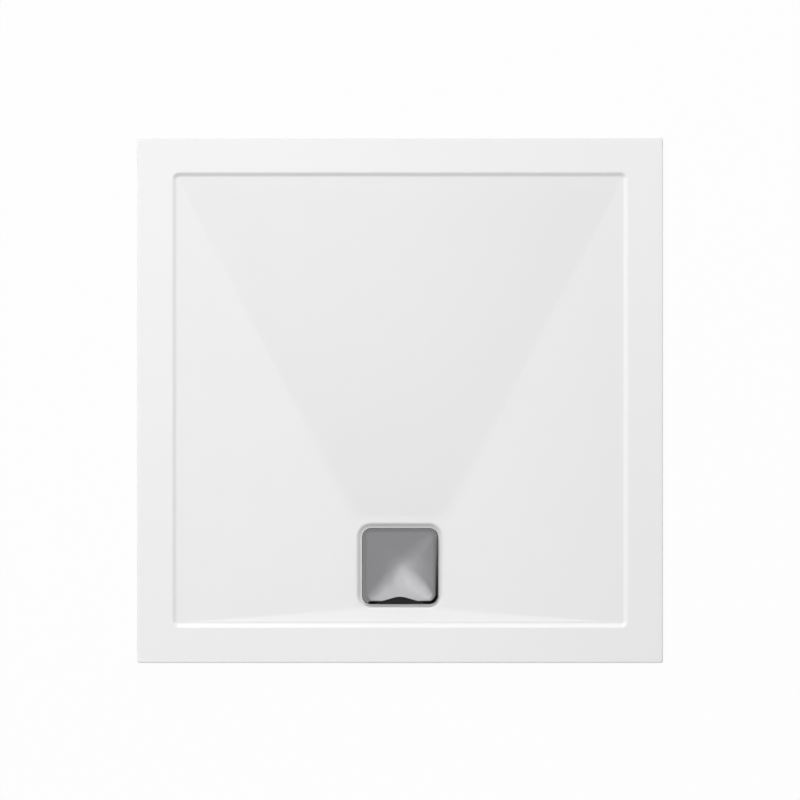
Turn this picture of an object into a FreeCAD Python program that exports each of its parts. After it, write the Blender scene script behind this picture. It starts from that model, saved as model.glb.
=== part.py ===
import FreeCAD, Part

import os
import re
import Sketcher
from FreeCAD import Placement, Rotation, Vector

# A low square shower tray: a white skin over a cast core, a wide flat rim, a small step, and a
# floor of four planes that fall to a square recess.  The recess holds a square metal cover over a
# round waste, and the waste is clamped through the tray to a bottle trap under it.
#
# Millimetres.  +Z is up, +Y is the back edge and +X the right edge.  The origin is the centre of
# the tray's underside.  The waste's own pieces are drawn round their own axis, then placed.

SIZES = {
    # the tray's outside
    "tray_length": 900,
    "tray_width": 900,
    "tray_height": 25,
    "tray_corner": 4,
    "rim_round": 2.5,
    # the basin: rim, step, falling floor and recess
    "rim_width": 60,
    "step_depth": 4,
    "step_run": 8,
    "step_corner": 6,
    "floor_fall": 7,
    "recess_depth": 4.5,
    "recess_run": 4,
    "step_round": 8,
    "recess_round": 2,
    "skin_thickness": 1.5,
    "plinth_height": 2,
    # the underside: moulded hollows, and a plain pad round the waste
    "hollow_depth": 6,
    "hollow_count": 4,
    "hollow_corner": 8,
    "hollow_border": 60,
    "rib_width": 14,
    "pad_border": 13,
    # clearances
    "fit_gap": 0.3,
    "thread_gap": 0.2,
    "loose_gap": 0.5,
    "hair_gap": 0.05,
    # the hole and what clamps through it
    "front_fall": 24,
    "hole_margin": 13.5,
    "flange_cover": 12,
    "flange_thickness": 1.5,
    "flange_chamfer": 0.5,
    "dish_width": 9.9,
    "dish_slope": 2.8,
    "dish_depth": 2.5,
    "sleeve_wall": 1.5,
    "sleeve_length": 5.5,
    "sleeve_lead": 0.6,
    "gasket_thickness": 1.5,
    "gasket_lip": 0.9,
    "gasket_drop": 3,
    "gasket_inset": 1,
    "clamp_gasket": 2,
    "rebate_depth": 2,
    "rebate_border": 10,
    # the four screws and their threaded inserts
    "screw_count": 4,
    "screw_step": 5.7,
    "screw_radius": 1.95,
    "screw_head": 3.6,
    "screw_length": 13,
    "insert_radius": 3.2,
    "insert_length": 10,
    "insert_drop": 0.2,
    "boss_radius": 4.9,
    "boss_length": 16.2,
    # the throat under the tray
    "throat_bore": 31.5,
    "throat_wall": 2,
    "clamp_cover": 8,
    "clamp_thickness": 3,
    "ledge_drop": 13,
    "ledge_width": 1.9,
    "skirt_length": 10,
    "skirt_wall": 2.3,
    # the bowl
    "bowl_margin": 7,
    "bowl_wall": 3,
    "bowl_depth": 87,
    "bowl_taper": 12,
    "bowl_seal": 2,
    "bowl_ribs": 18,
    "bowl_rib_width": 3,
    "bowl_rib_proud": 1.5,
    "bowl_rib_length": 22,
    # the side outlet and its compression joint
    "outlet_drop": 33,
    "outlet_stub": 34,
    "outlet_wall": 2.3,
    "pipe_stop": 3.2,
    "pipe_bore": 21.7,
    "pipe_depth": 24,
    "seal_length": 5,
    "seal_lead": 1.5,
    "washer_thickness": 1,
    "nut_wall": 4,
    "nut_overlap": 20,
    "nut_end": 3,
    "nut_ribs": 16,
    "nut_rib_width": 3,
    "nut_rib_proud": 1.5,
    # the lift-out dip tube and its ring seal
    "collar_proud": 2.6,
    "dip_wall": 2,
    "dip_length": 68,
    "collar_height": 9,
    "ring_bevel": 0.9,
    "ring_height": 4.5,
    "groove_width": 3.2,
    "groove_depth": 2.8,
    "bar_thickness": 3,
    "bar_height": 4,
    # the hair strainer
    "strainer_rim": 1.5,
    "strainer_land": 3,
    "strainer_wall": 1.8,
    "dome_rise": 7.5,
    "dome_shoulder": 16,
    "knob_radius": 4,
    "knob_height": 3,
    "knob_bevel": 1,
    "slot_count": 12,
    "slot_width": 2.5,
    "slot_start": 9,
    "slot_length": 15,
    # the cover over the waste
    "cover_side": 130,
    "cover_corner": 15,
    "cover_gap": 4,
    "cover_reveal": 1,
    "carrier_thickness": 1.6,
    "carrier_bar": 14,
    "carrier_spoke": 12,
    "carrier_hub": 16,
    "pad_radius": 4,
    "pad_height": 2,
    "pad_inset": 11,
    "post_radius": 5,
    "post_height": 2.5,
    "leg_wall": 1.8,
    "leg_angle": 22,
    "ridge_length": 30,
    "ridge_width": 2,
    "ridge_height": 0.6,
    "plate_wall": 1.2,
    "plate_edge": 2,
    "plate_round": 1.2,
    "crown_rise": 3,
    "crown_side": 14,
    "notch_width": 57,
    "notch_depth": 10,
    "notch_peak": 9,
}

# Levels above the tray's underside, from the rim down to the trap's floor.
FOOT = "(tray_height - step_depth)"
BRINK = f"({FOOT} - floor_fall)"
SEAT = f"({BRINK} - recess_depth)"
GASKET_TOP = f"({SEAT} + gasket_thickness)"
FLANGE_TOP = f"({GASKET_TOP} + flange_thickness)"
DISH = f"({FLANGE_TOP} - dish_depth)"
DISH_UNDER = f"({DISH} - flange_thickness)"
SLEEVE_END = f"({DISH} - sleeve_length)"
THROAT_TOP = f"({DISH_UNDER} - fit_gap)"
BORE_STEP = f"({SLEEVE_END} - loose_gap)"
CLAMP = "(rebate_depth - clamp_gasket)"
WEB = f"({CLAMP} - clamp_thickness)"
LEDGE = f"({CLAMP} - ledge_drop)"
BOWL_TOP = f"({WEB} - bowl_seal)"
BOWL_FLOOR = f"({BOWL_TOP} - bowl_depth)"
OUTLET = f"({CLAMP} - outlet_drop)"
COLLAR_TOP = f"({LEDGE} + collar_height)"
STRAINER_TOP = f"({COLLAR_TOP} + strainer_rim)"
CARRIER = f"({SEAT} + pad_height + post_height)"
CARRIER_TOP = f"({CARRIER} + carrier_thickness)"
PLATE_EDGE = f"({CARRIER_TOP} + plate_edge)"

# Radii and half sizes that more than one piece follows.
SLEEVE_OUT = "(throat_bore + sleeve_wall)"
COUNTERBORE = f"({SLEEVE_OUT} + fit_gap)"
SCREW_RING = "(throat_bore + screw_step)"
DISH_IN = "(throat_bore + dish_width)"
DISH_OUT = f"({DISH_IN} + dish_slope)"
WASTE_HOLE = "(throat_bore + hole_margin)"
FLANGE_OUT = f"({WASTE_HOLE} + flange_cover)"
LIP_OUT = f"({WASTE_HOLE} - fit_gap)"
LIP_IN = f"({LIP_OUT} - gasket_lip)"
THROAT_OUT = f"({LIP_IN} - loose_gap)"
BOWL_OUT = f"({WASTE_HOLE} + bowl_margin)"
BOWL_IN = f"({BOWL_OUT} - bowl_wall)"
SKIRT_OUT = f"({BOWL_IN} - thread_gap)"
CLAMP_OUT = f"({BOWL_OUT} + clamp_cover)"
COLLAR_OUT = "(throat_bore - fit_gap)"
GROOVE = f"({COLLAR_OUT} - groove_depth)"
TUBE_OUT = f"({COLLAR_OUT} - collar_proud)"
TUBE_IN = f"({TUBE_OUT} - dip_wall)"
OUTLET_END = f"({BOWL_OUT} + outlet_stub)"
OUTLET_OUT = "(pipe_bore + outlet_wall)"
NUT_OUT = f"({OUTLET_OUT} + nut_wall)"
PIPE_CLEAR = "(pipe_bore + thread_gap)"
PLATE_SIDE = "(cover_side - 2 * cover_reveal)"
PLATE_CORNER = "(cover_corner - cover_reveal)"
FLOOR_SIDE = "(cover_side + 2 * cover_gap)"
FLOOR_CORNER = "(cover_corner + cover_gap)"
BRINK_SIDE = f"({FLOOR_SIDE} + 2 * recess_run)"
WASTE_Y = f"(rim_width + step_run + front_fall + {BRINK_SIDE} / 2 - tray_width / 2)"

# Where the forms that cut through the tray start, a little under it.
UNDER = "(-rebate_depth)"

document = FreeCAD.newDocument("ShowerTray")
sheet = document.addObject("Spreadsheet::Sheet", "Sizes")
for row, (alias, size) in enumerate(SIZES.items(), 1):
    sheet.set(f"A{row}", alias)
    sheet.set(f"B{row}", str(size))
    sheet.setAlias(f"B{row}", alias)
document.recompute()

KNOWN = re.compile(r"\b(" + "|".join(SIZES) + r")\b")


# ---- helpers ----------------------------------------------------------------------------------

def bound(formula):
    """Turn a formula of size names into an expression on the sheet."""
    return KNOWN.sub(r"Sizes.\1", formula)


def value(formula):
    """Read what a formula comes to now."""
    return float(sheet.evalExpression(bound(formula)))


def new_body(name):
    body = document.addObject("PartDesign::Body", name)
    body.Label = name
    body.AllowCompound = True
    return body


def origin_item(body, role):
    return next(item for item in body.Origin.OriginFeatures if item.Role == role)


def sketch_on(body, role, lift="0", turn=None):
    """Add a sketch on one of the body's own planes, lifted along the plane's normal."""
    sketch = body.newObject("Sketcher::SketchObject", "Sketch")
    sketch.AttachmentSupport = (origin_item(body, role), "")
    sketch.MapMode = "FlatFace"
    if turn:
        sketch.AttachmentOffset = Placement(Vector(), turn)
    sketch.setExpression("AttachmentOffset.Base.z", bound(lift))
    return sketch


def hold(sketch, kind, *where, size):
    """Add one dimension that follows a formula."""
    index = sketch.addConstraint(Sketcher.Constraint(kind, *where, value(size)))
    sketch.setExpression(f"Constraints[{index}]", bound(size))


def pin(sketch, item, end, across, up):
    """Fix a point of the sketch at a distance from its origin each way."""
    hold(sketch, "DistanceX", -1, 1, item, end, size=across)
    hold(sketch, "DistanceY", -1, 1, item, end, size=up)


def arc_between(start, finish, radius):
    """The short arc of two points, drawn anticlockwise: below 0, the radius bends it to the left."""
    chord = finish - start
    sagitta = abs(radius) - (radius ** 2 - chord.Length ** 2 / 4) ** 0.5
    right = Vector(chord.y, -chord.x, 0).normalize()
    if radius > 0:
        return Part.Arc(start, (start + finish) / 2 + right * sagitta, finish)
    return Part.Arc(finish, (start + finish) / 2 - right * sagitta, start)


def outline(sketch, points):
    """Close an outline.  Each point is (across, up), or (across, up, radius) before an arc."""
    spots = [Vector(value(point[0]), value(point[1]), 0) for point in points]
    first = sketch.GeometryCount
    begins = []
    for number, point in enumerate(points):
        start, finish = spots[number], spots[(number + 1) % len(spots)]
        bend = value(point[2]) if len(point) == 3 else 0
        edge = arc_between(start, finish, bend) if bend else Part.LineSegment(start, finish)
        sketch.addGeometry(edge, False)
        begins.append(2 if bend < 0 else 1)
    for number, point in enumerate(points):
        after = (number + 1) % len(points)
        ends = (first + number, 3 - begins[number], first + after, begins[after])
        sketch.addConstraint(Sketcher.Constraint("Coincident", *ends))
    for number, point in enumerate(points):
        pin(sketch, first + number, begins[number], point[0], point[1])
        if len(point) == 3:
            hold(sketch, "Radius", first + number, size=f"abs({point[2]})")


def circle(sketch, across, up, radius):
    middle = Vector(value(across), value(up), 0)
    item = sketch.addGeometry(Part.Circle(middle, Vector(0, 0, 1), value(radius)))
    pin(sketch, item, 3, across, up)
    hold(sketch, "Radius", item, size=radius)


def rounded(sketch, length, width, corner):
    """Draw a rectangle with round corners about the sketch's origin."""
    far, high, bend = value(length) / 2, value(width) / 2, value(corner)
    mid = bend * (1 - 0.5 ** 0.5)
    first = sketch.GeometryCount
    for right, up in ((1, 1), (-1, 1), (-1, -1), (1, -1)):
        side = Vector(right * far, up * high, 0)
        beside = side - Vector(0, up * bend, 0)
        within = side - Vector(right * mid, up * mid, 0)
        above = side - Vector(right * bend, 0, 0)
        if right * up > 0:
            sketch.addGeometry(Part.Arc(beside, within, above), False)
            onward = above - Vector(right * 2 * (far - bend), 0, 0)
            sketch.addGeometry(Part.LineSegment(above, onward), False)
        else:
            sketch.addGeometry(Part.Arc(above, within, beside), False)
            onward = beside - Vector(0, up * 2 * (high - bend), 0)
            sketch.addGeometry(Part.LineSegment(beside, onward), False)
    for number in range(8):
        after = (number + 1) % 8
        sketch.addConstraint(Sketcher.Constraint("Tangent", first + number, 2, first + after, 1))
    for number, kind in ((1, "Horizontal"), (3, "Vertical"), (5, "Horizontal"), (7, "Vertical")):
        sketch.addConstraint(Sketcher.Constraint(kind, first + number))
    for number in (2, 4, 6):
        sketch.addConstraint(Sketcher.Constraint("Equal", first, first + number))
    hold(sketch, "Radius", first, size=corner)
    hold(sketch, "DistanceY", -1, 1, first + 1, 1, size=f"({width}) / 2")
    hold(sketch, "DistanceX", -1, 1, first + 3, 1, size=f"-({length}) / 2")
    hold(sketch, "DistanceY", -1, 1, first + 5, 1, size=f"-({width}) / 2")
    hold(sketch, "DistanceX", -1, 1, first + 7, 1, size=f"({length}) / 2")


def pad(body, sketch, length, taper="0"):
    feature = body.newObject("PartDesign::Pad", "Pad")
    feature.Profile = sketch
    feature.setExpression("Length", bound(length))
    feature.setExpression("TaperAngle", taper)
    return feature


def pocket(body, sketch, depth):
    """Cut a sketch's outline away against its plane's normal."""
    feature = body.newObject("PartDesign::Pocket", "Pocket")
    feature.Profile = sketch
    feature.setExpression("Length", bound(depth))
    return feature


def spin(body, points, axis="V_Axis", kind="Revolution", angle="360"):
    """Turn an outline in the body's XZ plane about one of the sketch's axes."""
    sketch = sketch_on(body, "XZ_Plane")
    outline(sketch, points)
    feature = body.newObject("PartDesign::" + kind, kind)
    feature.Profile = sketch
    feature.ReferenceAxis = (sketch, [axis])
    feature.setExpression("Angle", bound(angle))
    return feature


def spin_beside(body, points, across, kind="Revolution"):
    """Turn an outline in the body's XZ plane about an upright line that stands off its centre."""
    sketch = sketch_on(body, "XZ_Plane")
    outline(sketch, points)
    foot = Vector(value(across), 0, 0)
    head = Vector(value(across), value("tray_height"), 0)
    line = sketch.addGeometry(Part.LineSegment(foot, head), True)
    pin(sketch, line, 1, across, "0")
    pin(sketch, line, 2, across, "tray_height")
    feature = body.newObject("PartDesign::" + kind, kind)
    feature.Profile = sketch
    feature.ReferenceAxis = (sketch, ["Axis0"])
    feature.Angle = 360
    return feature


def around(body, feature, count, role="Z_Axis"):
    """Repeat a feature evenly about one of the body's own axes."""
    pattern = body.newObject("PartDesign::PolarPattern", "Around")
    pattern.Originals = [feature]
    pattern.Axis = (origin_item(body, role), [""])
    pattern.Angle = 360
    pattern.setExpression("Occurrences", bound(count))
    body.Tip = pattern
    return pattern


def soften(body, radius, chosen):
    """Round the edges of the body whose boxes are chosen."""
    document.recompute()
    base = body.Tip
    names = [f"Edge{n}" for n, edge in enumerate(base.Shape.Edges, 1) if chosen(edge.BoundBox)]
    feature = body.newObject("PartDesign::Fillet", "Fillet")
    feature.Base = (base, names)
    feature.setExpression("Radius", bound(radius))
    return feature


def between(low, high):
    """Choose the edges that lie wholly between two levels."""
    bottom, top = value(low) - 0.001, value(high) + 0.001
    return lambda box: box.ZMin > bottom and box.ZMax < top


def at_waste(item, level="0"):
    """Stand a piece on the waste's axis."""
    item.setExpression("Placement.Base.y", bound(WASTE_Y))
    item.setExpression("Placement.Base.z", bound(level))
    return item


def cylinder(name, radius, bottom, top):
    """An upright cylinder on the waste's axis."""
    item = document.addObject("Part::Cylinder", name)
    item.setExpression("Radius", bound(radius))
    item.setExpression("Height", bound(f"{top} - {bottom}"))
    return at_waste(item, bottom)


def cut(name, base, tools):
    """Take one or more tools out of a base."""
    tool = tools[0]
    if len(tools) > 1:
        tool = document.addObject("Part::MultiFuse", name + "_tools")
        tool.Shapes = tools
    item = document.addObject("Part::Cut", name)
    item.Base = base
    item.Tool = tool
    item.Label = name
    return item


# ---- the tray ---------------------------------------------------------------------------------

def prism(name, role, points, length):
    """An outline in an upright plane, drawn out evenly both ways."""
    body = new_body(name)
    sketch = sketch_on(body, role)
    outline(sketch, points)
    pad(body, sketch, length).Midplane = True
    return body


def basin_form(name, drop):
    """The basin's hollow as a solid, lowered for what lies under a skin.

    One long prism holds the falls to left and right, the other those to front and back.  What is
    common to both has the four falls, their creases and the step.  Both end inside the recess.
    """
    top = f"(tray_height - {drop})"
    reach = "(step_round * tan(atan(step_depth / step_run) / 2))"
    steep = "(step_depth / sqrt(step_depth ^ 2 + step_run ^ 2))"
    level = "(step_run / sqrt(step_depth ^ 2 + step_run ^ 2))"
    prisms = []
    for role, whole, centre, across in (
        ("XZ_Plane", "tray_length", "0", "tray_width"),
        ("YZ_Plane", "tray_width", WASTE_Y, "tray_length"),
    ):
        rim = f"({whole} / 2 - rim_width)"
        foot = f"({rim} - step_run)"
        low_left, low_right = [
            fall_end(foot, centre, side, f"({BRINK} - {drop})") for side in ("-1", "1")
        ]
        prisms.append(prism(f"{name}_{role[:2]}", role, [
            (f"-({rim} + {reach})", top, "-step_round"),
            (f"-({rim} - {reach} * {level})", f"{top} - {reach} * {steep}"),
            (f"-{foot}", f"{FOOT} - {drop}"),
            low_left,
            low_right,
            (foot, f"{FOOT} - {drop}"),
            (f"{rim} - {reach} * {level}", f"{top} - {reach} * {steep}", "-step_round"),
            (f"{rim} + {reach}", top),
            (f"{rim} + {reach}", f"{top} + step_depth"),
            (f"-({rim} + {reach})", f"{top} + step_depth"),
        ], across))
    corners = new_body(name + "_corners")
    inside = sketch_on(corners, "XY_Plane")
    sides = [f"({whole} - 2 * (rim_width - {reach}))" for whole in ("tray_length", "tray_width")]
    rounded(inside, *sides, "step_corner")
    pad(corners, inside, "tray_height + step_depth")
    basin = document.addObject("Part::MultiCommon", name)
    basin.Shapes = prisms + [corners]
    recess = new_body(name + "_recess")
    floor = sketch_on(recess, "XY_Plane", f"{SEAT} - {drop}")
    rounded(floor, FLOOR_SIDE, FLOOR_SIDE, FLOOR_CORNER)
    pad(recess, floor, "recess_depth + step_depth", "atan(Sizes.recess_run / Sizes.recess_depth)")
    return [basin, at_waste(recess)]


def fall_end(foot, centre, side, brink):
    """Where a fall from the step's foot would end, carried on past the recess's brink."""
    start = f"({centre} + {side} * {BRINK_SIDE} / 2)"
    end = f"({centre} + {side} * ({FLOOR_SIDE} / 2 - {FLOOR_CORNER}))"
    slope = f"(floor_fall / ({foot} - {side} * {start}))"
    return end, f"{brink} - {slope} * {side} * ({start} - {end})"


def tray_form(name, inset):
    """The tray's outer form with its basin, or the same drawn in on every side but the lowest."""
    block = new_body(name + "_block")
    plan = sketch_on(block, "XY_Plane")
    rounded(plan, f"tray_length - 2 * {inset}", f"tray_width - 2 * {inset}", f"tray_corner - {inset} / 2")
    pad(block, plan, f"tray_height - {inset}")
    if inset == "0":
        soften(block, "rim_round", between("tray_height", "tray_height"))
    return cut(name, block, basin_form(name + "_basin", inset))


def make_tray():
    """The skin, and the cast core that fills it and shows as a low plinth under its edge."""
    form = new_body("tray_outside")
    form.BaseFeature = tray_form("tray_form", "0")
    soften(form, "recess_round", between(SEAT, SEAT))
    filling = tray_form("filling_form", "skin_thickness")
    plinth = new_body("plinth_form")
    plan = sketch_on(plinth, "XY_Plane")
    rounded(plan, "tray_length", "tray_width", "tray_corner")
    pad(plinth, plan, "plinth_height")
    hole = cylinder("waste_hole_form", WASTE_HOLE, UNDER, "tray_height")
    skin = cut("acrylic_cap", form, [filling, plinth, hole])
    cast = document.addObject("Part::MultiFuse", "cast_form")
    cast.Shapes = [filling, plinth]
    core = cut("stone_core", cast, [hole, make_hollows(), rebate()])
    return [skin, core]


def rebate():
    """The shallow round rebate under the tray that the trap's clamping flange goes into."""
    return cylinder("rebate_form", f"{CLAMP_OUT} + rebate_border", UNDER, "rebate_depth")


def make_hollows():
    """A grid of hollows in the underside, kept off the pad round the waste."""
    body = new_body("hollow_grid")
    side_x = "((tray_length - 2 * hollow_border + rib_width) / hollow_count - rib_width)"
    side_y = "((tray_width - 2 * hollow_border + rib_width) / hollow_count - rib_width)"
    first = sketch_on(body, "XY_Plane")
    rounded(first, side_x, side_y, "hollow_corner")
    one = pad(body, first, "hollow_depth")
    rows = body.newObject("PartDesign::MultiTransform", "Rows")
    rows.Originals = [one]
    steps = []
    for role, whole, side in (("X_Axis", "tray_length", side_x), ("Y_Axis", "tray_width", side_y)):
        step = body.newObject("PartDesign::LinearPattern", "Row")
        step.Direction = (origin_item(body, role), [""])
        step.setExpression("Length", bound(f"{whole} - 2 * hollow_border - {side}"))
        step.setExpression("Occurrences", bound("hollow_count"))
        steps.append(step)
    rows.Transformations = steps
    body.Tip = rows
    body.setExpression("Placement.Base.x", bound(f"hollow_border + {side_x} / 2 - tray_length / 2"))
    body.setExpression("Placement.Base.y", bound(f"hollow_border + {side_y} / 2 - tray_width / 2"))
    keep = cylinder("waste_pad_form", f"{BRINK_SIDE} / sqrt(2) + pad_border", UNDER, "tray_height")
    return cut("hollows", body, [keep])


# ---- the waste, clamped through the tray ------------------------------------------------------

def make_flange_gasket():
    """A flat ring under the flange with a lip that centres it in the tray's hole."""
    body = new_body("flange_gasket")
    spin(body, [
        (LIP_IN, f"{SEAT} - gasket_drop"),
        (LIP_OUT, f"{SEAT} - gasket_drop"),
        (LIP_OUT, SEAT),
        (f"{FLANGE_OUT} - gasket_inset", SEAT),
        (f"{FLANGE_OUT} - gasket_inset", GASKET_TOP),
        (LIP_IN, GASKET_TOP),
    ])
    return at_waste(body)


def make_waste_flange():
    """A pressed flange: flat outside, dished inside, with a sleeve and four countersunk holes."""
    body = new_body("waste_flange")
    spin(body, [
        (FLANGE_OUT, GASKET_TOP),
        (FLANGE_OUT, f"{FLANGE_TOP} - flange_chamfer"),
        (f"{FLANGE_OUT} - flange_chamfer", FLANGE_TOP),
        (DISH_OUT, FLANGE_TOP),
        (DISH_IN, DISH),
        ("throat_bore + sleeve_lead", DISH),
        ("throat_bore", f"{DISH} - sleeve_lead"),
        ("throat_bore", SLEEVE_END),
        (SLEEVE_OUT, SLEEVE_END),
        (SLEEVE_OUT, DISH_UNDER),
        (DISH_IN, DISH_UNDER),
        (f"{LIP_IN} - thread_gap", GASKET_TOP),
    ])
    hole = spin_beside(body, [
        (SCREW_RING, DISH),
        (f"{SCREW_RING} + screw_head + 2 * hair_gap", DISH),
        (f"{SCREW_RING} + screw_head + 2 * hair_gap - flange_thickness", DISH_UNDER),
        (SCREW_RING, DISH_UNDER),
    ], SCREW_RING, "Groove")
    around(body, hole, "screw_count")
    return at_waste(body)


def make_flange_screws():
    """Four countersunk screws that pull the flange and the throat together."""
    body = new_body("flange_screws")
    head = f"({DISH} - hair_gap)"
    neck = f"({head} - (screw_head - screw_radius))"
    tip = "screw_radius / 3"
    screw = spin_beside(body, [
        (SCREW_RING, head),
        (f"{SCREW_RING} + screw_head", head),
        (f"{SCREW_RING} + screw_radius", neck),
        (f"{SCREW_RING} + screw_radius", f"{head} - screw_length + {tip}"),
        (f"{SCREW_RING} + screw_radius - {tip}", f"{head} - screw_length"),
        (SCREW_RING, f"{head} - screw_length"),
    ], SCREW_RING)
    around(body, screw, "screw_count")
    return at_waste(body)


def make_screw_inserts():
    """Four threaded tubes moulded into the throat's bosses."""
    body = new_body("screw_inserts")
    top = f"({THROAT_TOP} - insert_drop)"
    near, far = f"({SCREW_RING} + screw_radius + 2 * hair_gap)", f"({SCREW_RING} + insert_radius)"
    insert = spin_beside(body, [
        (near, f"{top} - insert_length"),
        (far, f"{top} - insert_length"),
        (far, top),
        (near, top),
    ], SCREW_RING)
    around(body, insert, "screw_count")
    return at_waste(body)


def make_trap_gasket():
    """The flat ring that seals the clamping flange to the tray's underside."""
    body = new_body("trap_gasket")
    near, far = f"{WASTE_HOLE} + gasket_inset", f"{CLAMP_OUT} - gasket_inset"
    spin(body, [(near, CLAMP), (far, CLAMP), (far, "rebate_depth"), (near, "rebate_depth")])
    return at_waste(body)


def make_trap_throat():
    """The moulding that clamps under the tray: two walls, a web, a skirt, a ledge and bosses."""
    body = new_body("trap_throat")
    spin(body, [
        (f"{THROAT_OUT} - throat_wall", THROAT_TOP),
        (THROAT_OUT, THROAT_TOP),
        (THROAT_OUT, CLAMP),
        (CLAMP_OUT, CLAMP),
        (CLAMP_OUT, WEB),
        (SKIRT_OUT, WEB),
        (SKIRT_OUT, f"{WEB} - skirt_length"),
        (f"{SKIRT_OUT} - skirt_wall", f"{WEB} - skirt_length"),
        (f"{SKIRT_OUT} - skirt_wall", WEB),
        ("throat_bore + throat_wall", WEB),
        ("throat_bore + throat_wall", f"{LEDGE} - clamp_thickness"),
        ("throat_bore - ledge_width", f"{LEDGE} - clamp_thickness"),
        ("throat_bore - ledge_width", LEDGE),
        ("throat_bore", LEDGE),
        ("throat_bore", BORE_STEP),
        (COUNTERBORE, BORE_STEP),
        (COUNTERBORE, THROAT_TOP),
        (f"{COUNTERBORE} + throat_wall", THROAT_TOP),
        (f"{COUNTERBORE} + throat_wall", CLAMP),
        (f"{THROAT_OUT} - throat_wall", CLAMP),
    ])
    bosses = sketch_on(body, "XY_Plane", f"{THROAT_TOP} - boss_length")
    circle(bosses, SCREW_RING, "0", "boss_radius")
    around(body, pad(body, bosses, "boss_length"), "screw_count")
    bore = sketch_on(body, "XY_Plane", THROAT_TOP)
    circle(bore, "0", "0", COUNTERBORE)
    pocket(body, bore, f"{THROAT_TOP} - {BORE_STEP}")
    for radius, depth in (
        ("insert_radius + hair_gap", "insert_drop * 2 + insert_length"),
        ("screw_radius + 2 * hair_gap", "screw_length - dish_depth + flange_thickness"),
    ):
        hole = sketch_on(body, "XY_Plane", THROAT_TOP)
        circle(hole, SCREW_RING, "0", radius)
        around(body, pocket(body, hole, depth), "screw_count")
    return at_waste(body)


def make_bowl_seal():
    """The flat ring between the throat's web and the bowl's rim."""
    body = new_body("bowl_seal")
    near, far = f"{BOWL_IN} + 2 * hair_gap", f"{BOWL_OUT} - 2 * hair_gap"
    spin(body, [(near, BOWL_TOP), (far, BOWL_TOP), (far, WEB), (near, WEB)])
    return at_waste(body)


def make_trap_bowl():
    """The bowl that holds the water seal, with its side outlet and the ribs it is turned by."""
    body = new_body("trap_bowl")
    spin(body, [
        ("0", BOWL_FLOOR),
        (f"{BOWL_OUT} - bowl_taper", BOWL_FLOOR),
        (f"{BOWL_OUT} - bowl_taper / 4", f"{BOWL_FLOOR} + bowl_taper / 4"),
        (BOWL_OUT, f"{BOWL_FLOOR} + bowl_taper"),
        (BOWL_OUT, BOWL_TOP),
        ("0", BOWL_TOP),
    ])
    rib = sketch_on(body, "XY_Plane", f"{BOWL_FLOOR} + bowl_taper")
    outline(rib, [
        (f"{BOWL_OUT} - bowl_wall / 2", "-bowl_rib_width / 2"),
        (f"{BOWL_OUT} + bowl_rib_proud", "-bowl_rib_width / 4"),
        (f"{BOWL_OUT} + bowl_rib_proud", "bowl_rib_width / 4"),
        (f"{BOWL_OUT} - bowl_wall / 2", "bowl_rib_width / 2"),
    ])
    around(body, pad(body, rib, "bowl_rib_length"), "bowl_ribs")
    outlet = sketch_on(body, "YZ_Plane", f"{BOWL_OUT} / 2")
    circle(outlet, "0", OUTLET, OUTLET_OUT)
    inward = f"{OUTLET_END} - {BOWL_OUT} / 2"
    pad(body, outlet, inward)
    spin(body, [
        ("0", f"{BOWL_FLOOR} + bowl_wall"),
        (f"{BOWL_IN} - bowl_taper", f"{BOWL_FLOOR} + bowl_wall"),
        (f"{BOWL_IN} - bowl_taper / 4", f"{BOWL_FLOOR} + bowl_wall + bowl_taper / 4"),
        (BOWL_IN, f"{BOWL_FLOOR} + bowl_wall + bowl_taper"),
        (BOWL_IN, BOWL_TOP),
        ("0", BOWL_TOP),
    ], kind="Groove")
    for radius, depth in (("pipe_bore - pipe_stop", inward), ("pipe_bore", "pipe_depth")):
        mouth = sketch_on(body, "YZ_Plane", OUTLET_END)
        circle(mouth, "0", OUTLET, radius)
        pocket(body, mouth, depth)
    return at_waste(body)


def make_outlet_seal():
    """The tapered ring that the nut squeezes on to the pipe."""
    body = new_body("outlet_seal")
    far = f"({OUTLET_OUT} - thread_gap)"
    spin(body, [
        (OUTLET_END, PIPE_CLEAR),
        (f"{OUTLET_END} + seal_length", PIPE_CLEAR),
        (f"{OUTLET_END} + seal_length", far),
        (f"{OUTLET_END} + seal_lead", far),
        (OUTLET_END, f"{far} - seal_lead / 2"),
    ], "H_Axis")
    return at_waste(body, OUTLET)


def make_outlet_washer():
    """The thin ring that lets the nut turn on the seal."""
    body = new_body("outlet_washer")
    near, far = f"{OUTLET_END} + seal_length", f"{OUTLET_END} + seal_length + washer_thickness"
    top = OUTLET_OUT
    spin(body, [(near, PIPE_CLEAR), (far, PIPE_CLEAR), (far, top), (near, top)], "H_Axis")
    return at_waste(body, OUTLET)


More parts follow.
